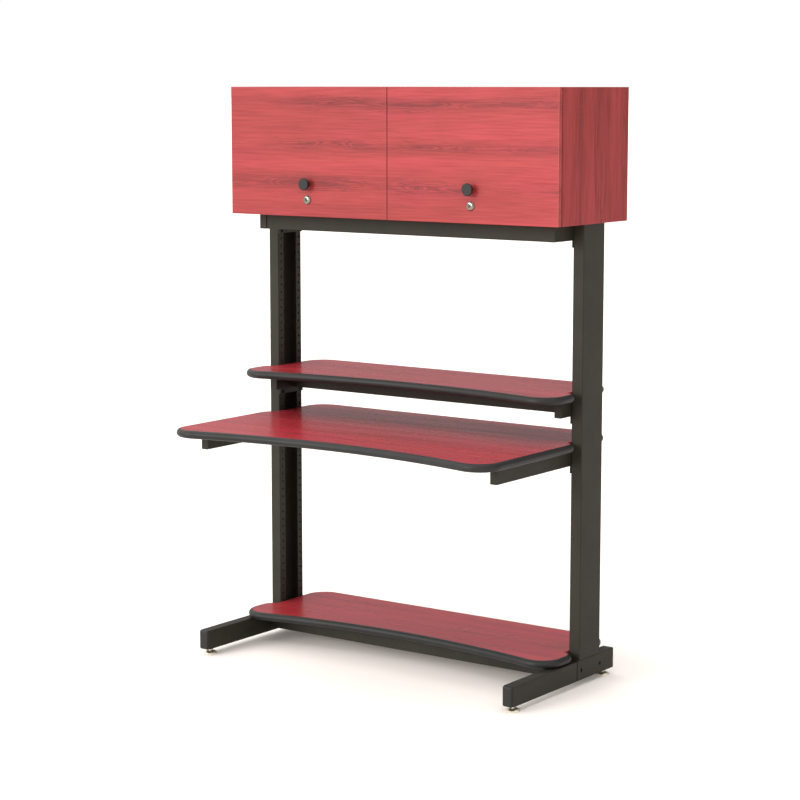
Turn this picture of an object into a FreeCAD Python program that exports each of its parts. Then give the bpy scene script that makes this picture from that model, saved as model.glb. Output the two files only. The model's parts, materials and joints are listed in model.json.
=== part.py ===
import FreeCAD, Part
import math
import os
import Sketcher

# Dispatch console: two channel uprights on box-tube feet carry a two-door cabinet, an upper shelf,
# a work surface and a lower shelf. Millimetres, X to the right, Y to the back, Z up.
# The origin is on the floor, midway across the width and the depth of the whole object.

Vector = FreeCAD.Vector
SIDES = (("left", -1), ("right", 1))

doc = FreeCAD.newDocument("dispatch_console")

# Driving dimensions, one sheet cell each
DIMENSIONS = {
    # stance, measured from the front faces of the uprights
    "inner_span": 1133.0,
    "foot_clearance": 19.0,
    "work_reach": 520.0,
    "shelf_reach": 172.0,
    "cabinet_reach": 171.0,
    "rear_reach": 229.5,
    # uprights
    "upright_width": 38.0,
    "upright_depth": 120.6,
    "upright_wall": 2.5,
    "upright_round": 3.5,
    "lip_width": 27.0,
    "hole_radius": 3.5,
    "hole_pitch": 25.4,
    "row_inset": 15.0,
    "first_hole_rise": 27.4,
    # feet
    "heel_height": 64.3,
    "heel_lead": 10.5,
    "heel_rear": 203.8,
    "toe_height": 62.4,
    "toe_reach": 377.5,
    "foot_wall": 2.5,
    "foot_round": 3.0,
    "inside_round": 0.8,
    "seam_gap": 4.0,
    "tail_length": 152.0,
    "tail_overlap": 40.0,
    "tail_wall": 3.0,
    "slip_fit": 0.3,
    "cap_length": 12.0,
    "cap_spigot": 9.0,
    "cap_corner_round": 9.0,
    "cap_rim_round": 5.5,
    "heel_bolt_inset": 12.3,
    "heel_bolt_spacing": 110.0,
    "heel_bolt_hole": 6.4,
    # levelling glides
    "glide_inset": 34.0,
    "glide_radius": 21.6,
    "glide_rim": 6.0,
    "glide_dome": 4.0,
    "glide_neck": 9.0,
    "stem_radius": 4.8,
    "stem_top": 44.0,
    "insert_flange": 4.0,
    "insert_radius": 8.0,
    "insert_depth": 14.0,
    # arms and beams
    "arm_width": 25.4,
    "arm_height": 50.8,
    "arm_wall": 2.0,
    "section_round": 2.5,
    "plate_thickness": 4.0,
    "plate_drop": 8.0,
    "arm_rise": 12.7,
    "cabinet_arm_reach": 98.0,
    "upper_arm_reach": 50.5,
    "work_arm_reach": 400.0,
    "cabinet_beam_setback": 3.0,
    "lower_beam_reach": 55.0,
    "cleat_width": 25.0,
    "cleat_wall": 3.0,
    # boards
    "board_thickness": 25.4,
    "shelf_recess": 58.0,
    "work_recess": 66.0,
    "corner_radius": 76.2,
    "notch_radius": 50.0,
    "notch_gap": 10.0,
    "notch_clearance": 2.5,
    # cabinet and doors
    "cabinet_overhang": 13.9,
    "cabinet_height": 405.4,
    "panel_thickness": 18.0,
    "panel_round": 1.2,
    "back_thickness": 6.0,
    "back_recess": 10.0,
    "door_thickness": 18.0,
    "door_gap": 2.6,
    "door_split": 3.0,
    # continuous hinge
    "barrel_radius": 2.8,
    "barrel_drop": 3.5,
    "barrel_room": 3.0,
    "hinge_pin_radius": 1.3,
    "leaf_thickness": 1.1,
    "leaf_height": 14.0,
    "leaf_inset": 12.0,
    "knuckle_gap": 0.4,
    # knobs
    "knob_rise": 102.0,
    "knob_radius": 19.5,
    "knob_height": 22.5,
    "knob_rim_height": 6.0,
    "knob_neck_radius": 8.5,
    "knob_neck_height": 8.0,
    "knob_round": 2.0,
    "flute_radius": 2.6,
    # cam locks
    "lock_rise": 52.5,
    "lock_flange_radius": 14.2,
    "lock_flange_height": 6.5,
    "lock_barrel_radius": 9.5,
    "lock_barrel_rear": 9.0,
    "lock_nut_height": 4.0,
    "lock_plug_radius": 6.3,
    "key_slot_width": 1.8,
    "key_slot_length": 8.0,
    "key_slot_depth": 6.0,
    "cam_length": 30.0,
    "cam_width": 15.0,
    "cam_thickness": 2.0,
    "strike_height": 16.0,
    "strike_foot": 18.0,
    "strike_wall": 1.5,
    "strike_width": 24.0,
    "strike_clearance": 2.5,
    # fasteners
    "running_fit": 0.05,
    "bolt_radius": 3.0,
    "bolt_head_radius": 6.0,
    "bolt_nut_height": 5.0,
    "screw_radius": 2.2,
    "screw_head_radius": 5.0,
    "screw_head_height": 2.4,
    "screw_bite": 14.0,
    "screw_inset": 30.0,
    "access_radius": 6.5,
    "drill_fit": 0.2,
}

# Counts of holes up to each level's bolts, and from a plate's bolts to its pins
WORK_SURFACE_HOLES = 22
UPPER_SHELF_HOLES = 28
CABINET_HOLES = 49
PIN_HOLES = 2
HOLES_UP = {
    "work_surface": WORK_SURFACE_HOLES,
    "upper_shelf": UPPER_SHELF_HOLES,
    "cabinet": CABINET_HOLES,
}

# Counts along a hinge and round a knob
KNUCKLES = 15
KNOB_FLUTES = 18

# Height of a glide's dome halfway out, as a share of its full height
DOME_SWELL = 0.7

# Curve of a lock's flange from rim to bore: shares of its width inward and of its height
FLANGE_DOME = ((0.0, 0.25), (0.08, 0.46), (0.22, 0.66), (0.42, 0.83), (0.66, 0.95))


class Size:
    """A length that keeps its value and the sheet expression it comes from."""

    def __init__(self, value, text):
        self.value = value
        self.text = text

    def __float__(self):
        return self.value

    def __neg__(self):
        return Size(-self.value, f"(-{self.text})")

    def __add__(self, other):
        other = size_of(other)
        return Size(self.value + other.value, f"({self.text} + {other.text})")

    def __sub__(self, other):
        other = size_of(other)
        return Size(self.value - other.value, f"({self.text} - {other.text})")

    def __mul__(self, other):
        other = size_of(other)
        return Size(self.value * other.value, f"({self.text} * {other.text})")

    def __truediv__(self, other):
        other = size_of(other)
        return Size(self.value / other.value, f"({self.text} / {other.text})")

    def __radd__(self, other):
        return size_of(other) + self

    def __rsub__(self, other):
        return size_of(other) - self

    def __rmul__(self, other):
        return size_of(other) * self


def size_of(length):
    """The length as a Size; a plain number stays a number in the expression."""
    if isinstance(length, Size):
        return length
    return Size(float(length), f"({float(length)})")


class Sheet:
    """The sheet of driving dimensions, read as attributes."""

    def __init__(self, dimensions):
        self.cells = doc.addObject("Spreadsheet::Sheet", "dims")
        for row, (alias, length) in enumerate(dimensions.items(), start=1):
            self.cells.set(f"A{row}", alias)
            self.cells.set(f"B{row}", str(length))
            self.cells.setAlias(f"B{row}", alias)
        doc.recompute()

    def __getattr__(self, alias):
        return Size(float(self.cells.get(alias)), f"dims.{alias}")


dims = Sheet(DIMENSIONS)
pieces = []


def piece(made, label):
    """Names a finished sub-part."""
    made.Label = label
    pieces.append(made)
    return made


def bind(made, name, length):
    """Binds one property to the sheet."""
    made.setExpression(name, size_of(length).text)


def place(made, x, y, z, rotation=None):
    """Puts an object at a point whose coordinates follow the sheet."""
    made.Placement.Rotation = rotation or FreeCAD.Rotation()
    for axis, length in zip("xyz", (x, y, z)):
        bind(made, f"Placement.Base.{axis}", length)
    return made


def span(first, last):
    """Two coordinates in rising order."""
    first, last = size_of(first), size_of(last)
    return (first, last) if first.value <= last.value else (last, first)


# Part primitives and booleans

TURN_Z_TO = {
    "X": FreeCAD.Rotation(Vector(0, 1, 0), 90),
    "-X": FreeCAD.Rotation(Vector(0, 1, 0), -90),
    "Y": FreeCAD.Rotation(Vector(1, 0, 0), -90),
    "-Y": FreeCAD.Rotation(Vector(1, 0, 0), 90),
    "Z": FreeCAD.Rotation(),
    "-Z": FreeCAD.Rotation(Vector(1, 0, 0), 180),
}


def block(name, x_span, y_span, z_span):
    made = doc.addObject("Part::Box", name)
    lows = []
    for side, ends in zip(("Length", "Width", "Height"), (x_span, y_span, z_span)):
        low, high = span(*ends)
        bind(made, side, high - low)
        lows.append(low)
    return place(made, *lows)


def rod(name, radius, length, start, axis):
    made = doc.addObject("Part::Cylinder", name)
    bind(made, "Radius", radius)
    bind(made, "Height", length)
    return place(made, *start, TURN_Z_TO[axis])


def taper(name, first_radius, last_radius, length, start, axis):
    made = doc.addObject("Part::Cone", name)
    bind(made, "Radius1", first_radius)
    bind(made, "Radius2", last_radius)
    bind(made, "Height", length)
    return place(made, *start, TURN_Z_TO[axis])


def hexagon(name, circumradius, length, start, axis):
    made = doc.addObject("Part::Prism", name)
    made.Polygon = 6
    bind(made, "Circumradius", circumradius)
    bind(made, "Height", length)
    return place(made, *start, TURN_Z_TO[axis])


def fuse(name, *solids):
    made = doc.addObject("Part::MultiFuse", name)
    made.Shapes = list(solids)
    made.Refine = True
    return made


def cut(name, base, *tools):
    made = doc.addObject("Part::Cut", name)
    made.Base = base
    made.Tool = tools[0] if len(tools) == 1 else group(f"{name}_tools", *tools)
    return made


def group(name, *solids):
    made = doc.addObject("Part::Compound", name)
    made.Links = list(solids)
    return made


def offset(start, axis, length):
    """The point a length further along an axis such as X or -Y."""
    point = list(start)
    index = "XYZ".index(axis[-1])
    point[index] = point[index] - length if axis.startswith("-") else point[index] + length
    return tuple(point)


# PartDesign bodies and sketches

def body(name):
    return doc.addObject("PartDesign::Body", name)


def sketch_on(owner, role, name, along=None):
    """A sketch on one of the body's own origin planes, moved along its normal."""
    plane = next(item for item in owner.Origin.OriginFeatures if item.Role == role)
    made = owner.newObject("Sketcher::SketchObject", f"{owner.Name}_{name}")
    made.AttachmentSupport = [(plane, "")]
    made.MapMode = "FlatFace"
    if along is not None:
        bind(made, "AttachmentOffset.Base.z", along)
    return made


def dimension(sketch, kind, length, *parts):
    """A dimension of the sketch that follows the sheet."""
    length = size_of(length)
    index = sketch.addConstraint(Sketcher.Constraint(kind, *parts, length.value))
    sketch.setExpression(f"Constraints[{index}]", length.text)


def rounded_rectangle(sketch, width, height, radius):
    """A rectangle centred on the sketch's origin with equal round corners."""
    first = sketch.GeometryCount
    round_off = float(radius)
    far_x = float(width) / 2 - round_off
    far_y = float(height) / 2 - round_off
    for quarter, (x, y) in enumerate(((1, 1), (-1, 1), (-1, -1), (1, -1))):
        circle = Part.Circle(Vector(x * far_x, y * far_y, 0), Vector(0, 0, 1), round_off)
        start = quarter * math.pi / 2
        sketch.addGeometry(Part.ArcOfCircle(circle, start, start + math.pi / 2))
    for corner in range(4):
        here = sketch.Geometry[first + corner].EndPoint
        there = sketch.Geometry[first + (corner + 1) % 4].StartPoint
        sketch.addGeometry(Part.LineSegment(here, there))
    for corner in range(4):
        line = first + 4 + corner
        following = first + (corner + 1) % 4
        sketch.addConstraint(Sketcher.Constraint("Tangent", first + corner, 2, line, 1))
        sketch.addConstraint(Sketcher.Constraint("Tangent", line, 2, following, 1))
        sketch.addConstraint(Sketcher.Constraint(("Horizontal", "Vertical")[corner % 2], line))
    for corner in range(1, 4):
        sketch.addConstraint(Sketcher.Constraint("Equal", first, first + corner))
    top, left, bottom, right = range(first + 4, first + 8)
    sketch.addConstraint(Sketcher.Constraint("Symmetric", top, 1, bottom, 1, -1, 1))
    dimension(sketch, "Radius", radius, first)
    dimension(sketch, "DistanceX", width, left, 1, right, 1)
    dimension(sketch, "DistanceY", height, bottom, 1, top, 1)


def closed_polygon(sketch, points):
    """A polygon whose corners follow the sheet; each point is a pair of Sizes."""
    corners = [Vector(float(x), float(y), 0) for x, y in points]
    count = len(corners)
    for index in range(count):
        sketch.addGeometry(Part.LineSegment(corners[index], corners[(index + 1) % count]))
    for index, (x, y) in enumerate(points):
        sketch.addConstraint(Sketcher.Constraint("Coincident", index, 2, (index + 1) % count, 1))
        for kind, length in (("DistanceX", size_of(x)), ("DistanceY", size_of(y))):
            if abs(length.value) < 1e-9:
                axis = -2 if kind == "DistanceX" else -1
                sketch.addConstraint(Sketcher.Constraint("PointOnObject", index, 1, axis))
            else:
                dimension(sketch, kind, length, -1, 1, index, 1)


class Outline:
    """A chain of lines and arcs in a sketch; neighbours share ends and are tangent where smooth."""

    def __init__(self, sketch):
        self.sketch = sketch
        self.ends = {}

    def line(self, start, end):
        index = self.sketch.addGeometry(Part.LineSegment(Vector(*start, 0), Vector(*end, 0)))
        self.ends[index] = (1, 2)
        return index

    def arc(self, centre, start, end, clockwise=True):
        angles = [math.atan2(y - centre[1], x - centre[0]) for x, y in (start, end)]
        if clockwise:
            angles.reverse()
        circle = Part.Circle(Vector(*centre, 0), Vector(0, 0, 1), math.dist(centre, start))
        index = self.sketch.addGeometry(Part.ArcOfCircle(circle, *angles))
        self.ends[index] = (2, 1) if clockwise else (1, 2)
        return index

    def link(self, before, after, smooth=True):
        """Joins the end of one piece of the chain to the start of another."""
        kind = "Tangent" if smooth else "Coincident"
        ends = (before, self.ends[before][1], after, self.ends[after][0])
        self.sketch.addConstraint(Sketcher.Constraint(kind, *ends))


def pad(owner, sketch, length, reverse=False):
    made = owner.newObject("PartDesign::Pad", f"{sketch.Name}_pad")
    made.Profile = sketch
    made.Reversed = reverse
    bind(made, "Length", length)
    doc.recompute()
    return made


def fillet(owner, base, radius, chosen):
    """Rounds the edges of the base feature that the test picks."""
    made = owner.newObject("PartDesign::Fillet", f"{base.Name}_round")
    edges = [f"Edge{index}" for index, edge in enumerate(base.Shape.Edges, start=1) if chosen(edge)]
    made.Base = (base, edges)
    bind(made, "Radius", radius)
    doc.recompute()
    return made


def turned(name, points):
    """A solid of revolution about Z; each point is a radius and a height."""
    owner = body(name)
    sketch = sketch_on(owner, "XZ_Plane", "profile")
    closed_polygon(sketch, points)
    made = owner.newObject("PartDesign::Revolution", f"{name}_turn")
    made.Profile = sketch
    made.ReferenceAxis = (sketch, ["V_Axis"])
    made.Angle = 360
    doc.recompute()
    return owner


# Sketch plane and pad direction for a bar that runs along an axis
BAR_PLANE = {"X": ("YZ_Plane", False), "Y": ("XZ_Plane", True), "Z": ("XY_Plane", False)}


def bar(name, axis, width, height, radius, length, start, wall=None):
    """A bar or tube of rounded rectangular section; start is the middle of its first end."""
    owner = body(name)
    role, reverse = BAR_PLANE[axis]
    sketch = sketch_on(owner, role, "section")
    rounded_rectangle(sketch, width, height, radius)
    if wall is not None:
        rounded_rectangle(sketch, width - 2 * wall, height - 2 * wall, dims.inside_round)
    pad(owner, sketch, length, reverse)
    return place(owner, *start)


def panel(name, x_span, y_span, z_span):
    """A board with lightly rounded edges."""
    (x0, x1), (y0, y1), (z0, z1) = span(*x_span), span(*y_span), span(*z_span)
    owner = body(name)
    sketch = sketch_on(owner, "XY_Plane", "outline")
    width, depth = x1 - x0, y1 - y0
    zero = size_of(0)
    closed_polygon(sketch, [(zero, zero), (width, zero), (width, depth), (zero, depth)])
    base = pad(owner, sketch, z1 - z0)
    fillet(owner, base, dims.panel_round, lambda edge: True)
    return place(owner, x0, y0, z0)


# Shared places

inner = dims.inner_span / 2
outer = inner + dims.upright_width
foot_middle = inner + dims.upright_width / 2
front = (dims.work_reach - dims.rear_reach) / 2
rear = front + dims.rear_reach
upright_rear = front + dims.upright_depth
heel_top = dims.foot_clearance + dims.heel_height
toe_top = dims.foot_clearance + dims.toe_height
arm_middle = inner - dims.plate_thickness - dims.arm_width / 2
arm_inner = inner - dims.plate_thickness - dims.arm_width
hole_rows = (front + dims.row_inset, upright_rear - dims.row_inset)
edge_radius = dims.board_thickness / 2


def hole_height(count):
    """Height of a hole of the uprights, counted from the lowest."""
    return heel_top + dims.first_hole_rise + dims.hole_pitch * count


def seat_height(level):
    """Top of the arms at a level, where its board or cabinet rests."""
    return hole_height(HOLES_UP[level]) + dims.arm_rise + dims.arm_height


cabinet_bottom = seat_height("cabinet")
cabinet_top = cabinet_bottom + dims.cabinet_height
upright_height = cabinet_bottom - heel_top


# Uprights: lipped channels, open inwards, with a row of holes in each lip

def upright(label, side):
    owner = body(label)
    width, depth, wall, lip = dims.upright_width, dims.upright_depth, dims.upright_wall, dims.lip_width
    zero = size_of(0)
    section = sketch_on(owner, "XY_Plane", "section")
    closed_polygon(section, [
        (zero, zero), (width, zero), (width, depth), (zero, depth),
        (zero, depth - lip), (wall, depth - lip), (wall, depth - wall), (width - wall, depth - wall),
        (width - wall, wall), (wall, wall), (wall, lip), (zero, lip),
    ])
    base = pad(owner, section, upright_height)

    def outside_corner(edge):
        middle = edge.CenterOfMass
        on_x = min(abs(middle.x), abs(middle.x - width.value)) < 1e-6
        on_y = min(abs(middle.y), abs(middle.y - depth.value)) < 1e-6
        return on_x and on_y and abs(middle.z - upright_height.value / 2) < 1e-6

    shell = fillet(owner, base, dims.upright_round, outside_corner)
    pair = sketch_on(owner, "YZ_Plane", "holes")
    for index, row in enumerate((dims.row_inset, depth - dims.row_inset)):
        centre = Vector(row.value, dims.first_hole_rise.value, 0)
        pair.addGeometry(Part.Circle(centre, Vector(0, 0, 1), dims.hole_radius.value))
        dimension(pair, "Radius", dims.hole_radius, index)
        dimension(pair, "DistanceX", row, -1, 1, index, 3)
        dimension(pair, "DistanceY", dims.first_hole_rise, -1, 1, index, 3)
    pocket = owner.newObject("PartDesign::Pocket", f"{label}_pocket")
    pocket.Profile = pair
    pocket.Reversed = True
    bind(pocket, "Length", wall * 2)
    doc.recompute()
    if pocket.Shape.Volume >= shell.Shape.Volume:
        raise RuntimeError(f"{label}: the holes cut nothing")
    count = CABINET_HOLES + PIN_HOLES + 1
    rows = owner.newObject("PartDesign::LinearPattern", f"{label}_rows")
    rows.Originals = [pocket]
    rows.Direction = (pair, ["V_Axis"])
    rows.Occurrences = count
    bind(rows, "Length", dims.hole_pitch * (count - 1))
    owner.Tip = rows
    doc.recompute()
    if side > 0:
        place(owner, inner, front, heel_top)
    else:
        place(owner, -inner, upright_rear, heel_top, FreeCAD.Rotation(Vector(0, 0, 1), 180))
    return piece(owner, label)


# Feet: a heel under each upright, and a toe whose tail slides into it

heel_front = front - dims.heel_lead
heel_end = front + dims.heel_rear
toe_end = heel_front - dims.seam_gap
toe_front = front - dims.toe_reach
tube_front = toe_front + dims.cap_length
heel_middle = dims.foot_clearance + dims.heel_height / 2
toe_middle = dims.foot_clearance + dims.toe_height / 2
tail_end = heel_front + dims.tail_length
tail_width = dims.upright_width - 2 * dims.foot_wall - 2 * dims.slip_fit
tail_height = dims.toe_height - 2 * dims.foot_wall - 2 * dims.slip_fit
tail_face = foot_middle + tail_width / 2
heel_bolts_y = (front + dims.heel_bolt_inset, front + dims.heel_bolt_inset + dims.heel_bolt_spacing)
glides_y = {"front": toe_front + dims.glide_inset, "rear": heel_end - dims.glide_inset}
insert_hole = dims.insert_radius + dims.drill_fit


def heel(label, side):
    x = foot_middle * side
    tube = bar(f"{label}_tube", "Y", dims.upright_width, dims.heel_height, dims.foot_round,
               heel_end - heel_front, (x, heel_front, heel_middle), dims.foot_wall)
    outward = "X" if side > 0 else "-X"
    holes = [rod(f"{label}_hole_{index}", dims.heel_bolt_hole, dims.foot_wall * 2,
                 ((outer - dims.foot_wall * 1.5) * side, y, toe_middle), outward)
             for index, y in enumerate(heel_bolts_y)]
    holes.append(rod(f"{label}_glide_hole", insert_hole, dims.foot_wall * 2,
                     (x, glides_y["rear"], dims.foot_clearance - dims.foot_wall / 2), "Z"))
    return piece(cut(f"{label}_cut", tube, *holes), label)


def toe(label, side):
    x = foot_middle * side
    outward = "X" if side > 0 else "-X"
    tube = bar(f"{label}_tube", "Y", dims.upright_width, dims.toe_height, dims.foot_round,
               toe_end - tube_front, (x, tube_front, toe_middle), dims.foot_wall)
    tail_start = toe_end - dims.tail_overlap
    tail = bar(f"{label}_tail", "Y", tail_width, tail_height, dims.foot_round,
               tail_end - tail_start, (x, tail_start, toe_middle), dims.tail_wall)
    collar_outside = bar(f"{label}_collar", "Y", dims.upright_width - dims.foot_wall,
                         dims.toe_height - dims.foot_wall, dims.foot_round, dims.tail_overlap / 2,
                         (x, tail_start, toe_middle), dims.tail_wall)
    holes = [rod(f"{label}_hole_{index}", dims.bolt_radius + dims.drill_fit, dims.tail_wall * 2,
                 ((tail_face - dims.tail_wall * 1.5) * side, y, toe_middle), outward)
             for index, y in enumerate(heel_bolts_y)]
    holes.append(rod(f"{label}_glide_hole", insert_hole, dims.foot_wall * 2,
                     (x, glides_y["front"], dims.foot_clearance - dims.foot_wall / 2), "Z"))
    welded = fuse(f"{label}_weldment", tube, tail, collar_outside)
    return piece(cut(f"{label}_cut", welded, *holes), label)


def toe_cap(label, side):
    """A moulded cap with a rounded front and a spigot that plugs the tube."""
    x = foot_middle * side
    owner = body(f"{label}_nose")
    sketch = sketch_on(owner, "XY_Plane", "plan")
    half, length, bend = dims.upright_width / 2, dims.cap_length, dims.cap_corner_round
    outline = Outline(sketch)
    far, near = half.value, (half - bend).value
    nose, begin = -length.value, (bend - length).value
    chain = [
        outline.line((far, 0), (far, begin)),
        outline.arc((near, begin), (far, begin), (near, nose)),
        outline.line((near, nose), (-near, nose)),
        outline.arc((-near, begin), (-near, nose), (-far, begin)),
        outline.line((-far, begin), (-far, 0)),
        outline.line((-far, 0), (far, 0)),
    ]
    for before, after in zip(chain[:4], chain[1:5]):
        outline.link(before, after)
    outline.link(chain[4], chain[5], False)
    outline.link(chain[5], chain[0], False)
    for line, kind in ((0, "Vertical"), (2, "Horizontal"), (4, "Vertical")):
        sketch.addConstraint(Sketcher.Constraint(kind, chain[line]))
    sketch.addConstraint(Sketcher.Constraint("Symmetric", chain[5], 1, chain[5], 2, -1, 1))
    dimension(sketch, "DistanceX", half * 2, chain[5], 1, chain[5], 2)
    dimension(sketch, "DistanceY", -length, -1, 1, chain[2], 1)
    for arc in (1, 3):
        dimension(sketch, "Radius", bend, chain[arc])
    base = pad(owner, sketch, dims.toe_height)

    def rim(edge):
        """An edge of the top or bottom face, except where the cap meets the tube."""
        return edge.BoundBox.ZLength < 1e-6 and edge.BoundBox.YMin < -1e-6

    fillet(owner, base, dims.cap_rim_round, rim)
    place(owner, x, tube_front, dims.foot_clearance)
    spigot = bar(f"{label}_spigot", "Y", tail_width, tail_height, dims.foot_round,
                 dims.cap_spigot + dims.cap_length / 2,
                 (x, tube_front - dims.cap_length / 2, toe_middle))
    return piece(fuse(f"{label}_whole", owner, spigot), label)


def heel_plug(name, side):
    return bar(name, "Y", dims.upright_width - 2 * dims.foot_wall - 2 * dims.slip_fit,
               dims.heel_height - 2 * dims.foot_wall - 2 * dims.slip_fit, dims.foot_round,
               dims.cap_spigot, (foot_middle * side, heel_end - dims.cap_spigot, heel_middle))


def heel_bolt(name, side, y):
    """A low socket screw that sits in the heel's hole and clamps the tail."""
    outward, inward = ("X", "-X") if side > 0 else ("-X", "X")
    seat = (tail_face * side, y, toe_middle)
    head_height = dims.foot_wall
    head = rod(f"{name}_head", dims.heel_bolt_hole - dims.drill_fit * 2, head_height, seat, outward)
    shank = rod(f"{name}_shank", dims.bolt_radius, dims.tail_wall * 2, seat, inward)
    socket = hexagon(f"{name}_socket", dims.bolt_radius * 0.9, head_height,
                     offset(seat, "X", head_height * 0.35 * side), outward)
    return cut(name, fuse(f"{name}_solid", head, shank), socket)


# Levelling glides and the threaded inserts in the feet

def glide(label, x, y):
    """A disc with a domed top on a stem, standing on the floor."""
    rim = dims.glide_rim
    chamfer = rim / 4
    shoulder = rim + dims.glide_dome
    zero = size_of(0)
    solid = turned(f"{label}_turned", [
        (zero, zero), (dims.glide_radius - chamfer, zero), (dims.glide_radius, chamfer),
        (dims.glide_radius, rim - chamfer), (dims.glide_radius - chamfer, rim),
        ((dims.glide_radius + dims.glide_neck) / 2, rim + dims.glide_dome * DOME_SWELL),
        (dims.glide_neck, shoulder),
        (dims.stem_radius, shoulder), (dims.stem_radius, dims.stem_top - chamfer),
        (dims.stem_radius - chamfer, dims.stem_top), (zero, dims.stem_top),
    ])
    return piece(place(solid, x, y, 0), label)


def glide_insert(name, x, y):
    """A hexagon flange under the foot and a round nut inside it."""
    under = dims.foot_clearance
    flange = hexagon(f"{name}_flange", dims.insert_radius * 1.3, dims.insert_flange,
                     (x, y, under - dims.insert_flange), "Z")
    nut = rod(f"{name}_nut", dims.insert_radius, dims.insert_depth, (x, y, under), "Z")
    thread = rod(f"{name}_thread", dims.stem_radius + dims.running_fit,
                 dims.insert_depth + dims.insert_flange * 3, (x, y, under - dims.insert_flange * 2), "Z")
    return cut(name, fuse(f"{name}_solid", flange, nut), thread)


# Arms: a tube welded to a plate that bolts to the lips of an upright

def arm_screws_y(reach):
    return (front - reach + dims.screw_inset, upright_rear - dims.screw_inset)


def arm(label, level, side, reach):
    seat = seat_height(level)
    bolt_z = hole_height(HOLES_UP[level])
    middle = seat - dims.arm_height / 2
    inward = "-X" if side > 0 else "X"
    x = arm_middle * side
    tube = bar(f"{label}_tube", "Y", dims.arm_width, dims.arm_height, dims.section_round,
               reach + dims.upright_depth, (x, front - reach, middle), dims.arm_wall)
    nose = bar(f"{label}_nose", "Y", dims.arm_width, dims.arm_height, dims.section_round,
               dims.arm_wall, (x, front - reach, middle))
    plate = block(f"{label}_plate", ((inner - dims.plate_thickness) * side, inner * side),
                  (front, upright_rear), (bolt_z - dims.plate_drop, seat))
    pins = [rod(f"{label}_pin_{index}", dims.hole_radius - dims.drill_fit,
                dims.upright_wall * 2 + dims.plate_thickness / 2,
                ((inner - dims.plate_thickness / 2) * side, y, bolt_z + dims.hole_pitch * PIN_HOLES),
                "X" if side > 0 else "-X")
            for index, y in enumerate(hole_rows)]
    holes = []
    for index, y in enumerate(hole_rows):
        holes.append(countersink(f"{label}_bolt_hole_{index}", (inner * side, y, bolt_z), inward,
                                 dims.plate_thickness, dims.drill_fit))
    for index, y in enumerate(arm_screws_y(reach)):
        holes.append(rod(f"{label}_screw_hole_{index}", dims.screw_radius + dims.drill_fit,
                         dims.arm_wall * 2, (x, y, seat - dims.arm_wall * 1.5), "Z"))
        holes.append(rod(f"{label}_access_{index}", dims.access_radius, dims.arm_wall * 2,
                         (x, y, seat - dims.arm_height - dims.arm_wall / 2), "Z"))
    welded = fuse(f"{label}_weldment", tube, nose, plate, *pins)
    return piece(cut(f"{label}_cut", welded, *holes), label)


def countersink(name, seat, axis, thickness, clearance):
    """A round hole from the seat along the axis that widens to the far face."""
    shank = dims.bolt_radius + clearance
    head = dims.bolt_head_radius + clearance
    depth = dims.bolt_head_radius - dims.bolt_radius
    hole = rod(f"{name}_shank", shank, thickness, seat, axis)
    cone = taper(f"{name}_head", shank, head, depth, offset(seat, axis, thickness - depth), axis)
    return fuse(name, hole, cone)


def plate_bolt(name, level, side, y):
    """A countersunk socket screw through the plate and the lip."""
    inward, outward = ("-X", "X") if side > 0 else ("X", "-X")
    seat = (inner * side, y, hole_height(HOLES_UP[level]))
    head = countersink(f"{name}_head", seat, inward, dims.plate_thickness, size_of(0))
    stick_out = dims.upright_wall + dims.bolt_nut_height + dims.bolt_radius / 3
    shank = rod(f"{name}_shank", dims.bolt_radius, stick_out, seat, outward)
    recess = dims.bolt_head_radius - dims.bolt_radius
    socket = hexagon(f"{name}_socket", dims.bolt_radius * 0.75, recess,
                     offset(seat, inward, dims.plate_thickness - recess * 0.7), inward)
    return cut(name, fuse(f"{name}_solid", head, shank), socket)


def plate_nut(name, level, side, y):
    outward = "X" if side > 0 else "-X"
    seat = ((inner + dims.upright_wall) * side, y, hole_height(HOLES_UP[level]))
    solid = hexagon(f"{name}_solid", dims.bolt_head_radius, dims.bolt_nut_height, seat, outward)
    thread = rod(f"{name}_thread", dims.bolt_radius + dims.running_fit, dims.bolt_nut_height * 2,
                 offset(seat, outward, -dims.bolt_nut_height / 2), outward)
    return cut(name, solid, thread)


# Beams between the arms, and between the toes

def beam(label, half_length, front_y, top):
    made = bar(label, "X", dims.arm_width, dims.arm_height, dims.section_round, half_length * 2,
               (-half_length, front_y + dims.arm_width / 2, top - dims.arm_height / 2), dims.arm_wall)
    return made


def lower_beam(label):
    """The beam between the toes, drilled for the lower shelf's screws."""
    front_y = front - dims.lower_beam_reach
    tube = beam(f"{label}_tube", inner, front_y, heel_top)
    holes = []
    for index, x in enumerate(lower_screws_x()):
        y = front_y + dims.arm_width / 2
        holes.append(rod(f"{label}_screw_hole_{index}", dims.screw_radius + dims.drill_fit,
                         dims.arm_wall * 2, (x, y, heel_top - dims.arm_wall * 1.5), "Z"))
        holes.append(rod(f"{label}_access_{index}", dims.access_radius, dims.arm_wall * 2,
                         (x, y, heel_top - dims.arm_height - dims.arm_wall / 2), "Z"))
    return piece(cut(f"{label}_cut", tube, *holes), label)


def lower_screws_x():
    return (-(inner - dims.screw_inset * 2), size_of(0), inner - dims.screw_inset * 2)


def cleat(name, side):
    """An angle welded to the heel under the lower shelf."""
    y_span = (front, upright_rear)
    wall = block(f"{name}_wall", (inner * side, (inner - dims.cleat_wall) * side), y_span,
                 (heel_top - dims.cleat_width, heel_top))
    shelf = block(f"{name}_shelf", (inner * side, (inner - dims.cleat_width) * side), y_span,
                  (heel_top - dims.cleat_wall, heel_top))
    return fuse(name, wall, shelf)


# Boards: bowed-in front edge, round corners, a notch round each upright, half-round edging

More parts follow.
